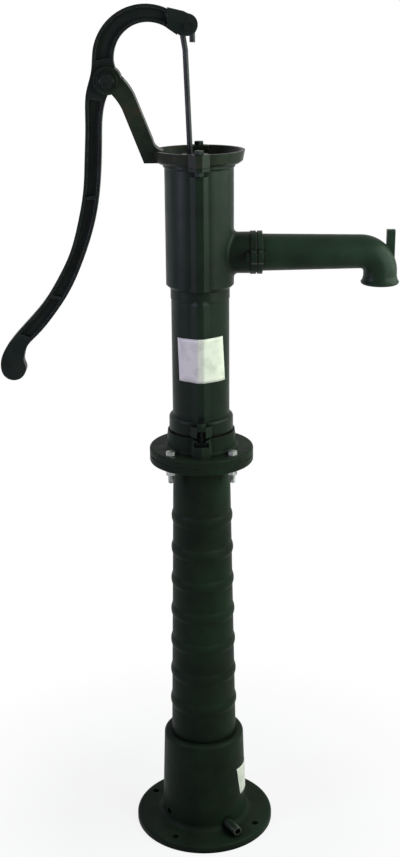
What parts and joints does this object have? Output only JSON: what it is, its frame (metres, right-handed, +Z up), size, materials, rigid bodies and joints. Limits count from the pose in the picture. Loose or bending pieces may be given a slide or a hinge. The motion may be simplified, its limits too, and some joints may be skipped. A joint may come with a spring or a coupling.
{
  "type": "pitcher pump",
  "caption": "Cast iron hand pump on a ribbed stand column, with a curved lever, hooked piston rod, dished cap and a side spout over a bolted foot.",
  "frame": {"origin": "centre of the foot's underside", "axes": "+Z up, +X along the spout, the lever towards -X"},
  "size_m": [0.5916, 0.224, 1.301],
  "materials": {
    "green_paint": "satin very dark green paint over a sand cast surface",
    "painted_steel": "fasteners painted over with the castings, satin",
    "zinc_steel": "dull zinc plate",
    "rod_steel": "dark rolled steel, rubbed bright in places",
    "bare_iron": "bare cast and turned iron",
    "brass": "turned brass, dull",
    "leather": "oiled pump leather",
    "gasket_rubber": "matt black sheet"
  },
  "bodies": {
    "pump": {"foot": "green_paint", "drain_plug": "painted_steel", "stand_column": "green_paint", "flange_gasket": "gasket_rubber", "flange_bolts": "zinc_steel", "flange_washers": "zinc_steel", "flange_nuts": "zinc_steel", "valve_base": "green_paint", "seat_leather": "leather", "barrel": "green_paint", "tie_bolts": "painted_steel", "tie_nuts": "painted_steel", "cap": "green_paint", "cap_bolts": "painted_steel", "cap_nuts": "painted_steel", "spout": "green_paint", "spout_gasket": "gasket_rubber", "spout_bolts": "painted_steel", "spout_nuts": "painted_steel", "fulcrum_bolt": "painted_steel", "fulcrum_washers": "painted_steel", "fulcrum_nut": "painted_steel"},
    "lever": {"lever": "green_paint", "hook_pin": "painted_steel", "hook_split_pin": "painted_steel"},
    "piston_rod": {"piston_rod": "rod_steel", "rod_nuts": "zinc_steel"},
    "piston": {"plunger": "bare_iron", "cup_leather": "leather", "cup_follower": "bare_iron"},
    "plunger_valve": {"plunger_valve": "brass"},
    "foot_valve": {"foot_valve_flap": "leather", "foot_valve_weight": "bare_iron", "foot_valve_washer": "zinc_steel", "foot_valve_screw": "zinc_steel", "foot_valve_nut": "zinc_steel"}
  },
  "joints": [
    {"name": "lever_swing", "type": "hinge", "parent": "pump", "child": "lever", "pos_m": [-0.1274, 0, 1.1992], "axis": [0, 1, 0], "range_deg": [0, 45]},
    {"name": "rod_swing", "type": "hinge", "parent": "lever", "child": "piston_rod", "pos_m": [-0.015, 0, 1.2702], "axis": [0, 1, 0], "range_deg": [-43, 0]},
    {"name": "piston_slide", "type": "slide", "parent": "pump", "child": "piston", "axis": [0, 0, -1], "range_m": [0, 0.1001]},
    {"name": "plunger_valve_lift", "type": "slide", "parent": "piston", "child": "plunger_valve", "axis": [0, 0, 1], "range_m": [0, 0.008]},
    {"name": "foot_valve_flap_lift", "type": "hinge", "parent": "pump", "child": "foot_valve", "pos_m": [-0.0348, 0, 0.6853], "axis": [0, -1, 0], "range_deg": [0, 25]}
  ],
  "couplings": [
    {"joint": "rod_swing", "follows": "lever_swing", "ratio": -0.945},
    {"joint": "piston_slide", "follows": "lever_swing", "m_per_rad": 0.12732}
  ]
}
